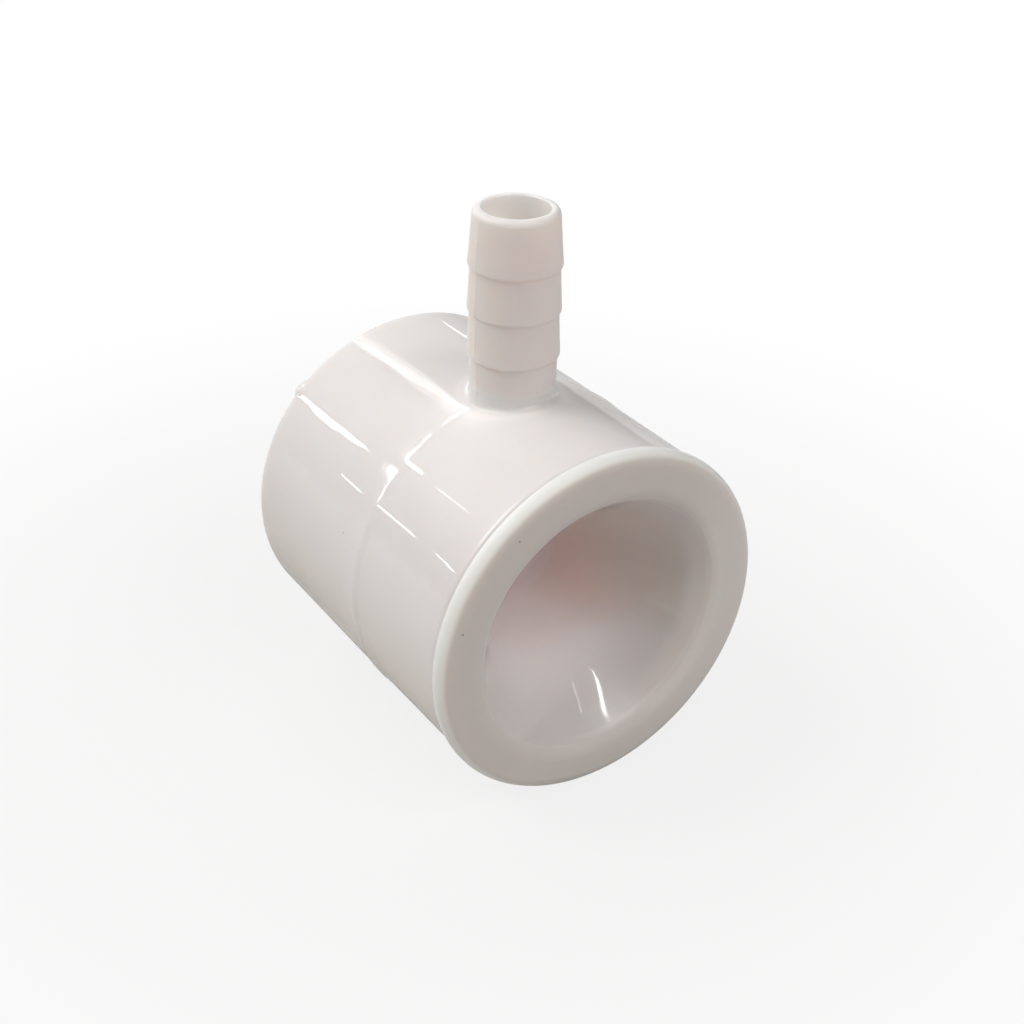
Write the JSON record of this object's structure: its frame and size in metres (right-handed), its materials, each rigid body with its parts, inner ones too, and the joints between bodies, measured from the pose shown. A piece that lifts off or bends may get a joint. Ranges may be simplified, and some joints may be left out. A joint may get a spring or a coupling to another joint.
{
  "type": "venturi injector",
  "caption": "White moulded venturi injector: a short tube with a bell-mouthed nozzle in its front end, a pipe socket behind it, and a hose barb on top that draws air into the flow.",
  "frame": {"origin": "centre of the pipe stop, on the flow axis", "axes": "+Y along the flow axis, out of the pipe socket; +Z along the hose barb; the bell mouth faces -Y"},
  "size_m": [0.051, 0.0523, 0.0767],
  "materials": {
    "body_plastic": "warm white, glossy as moulded",
    "nozzle_plastic": "warm white, satin on the front face and glossy in the bell"
  },
  "bodies": {
    "root": {"tee_body": "body_plastic", "nozzle_insert": "nozzle_plastic"}
  },
  "joints": []
}
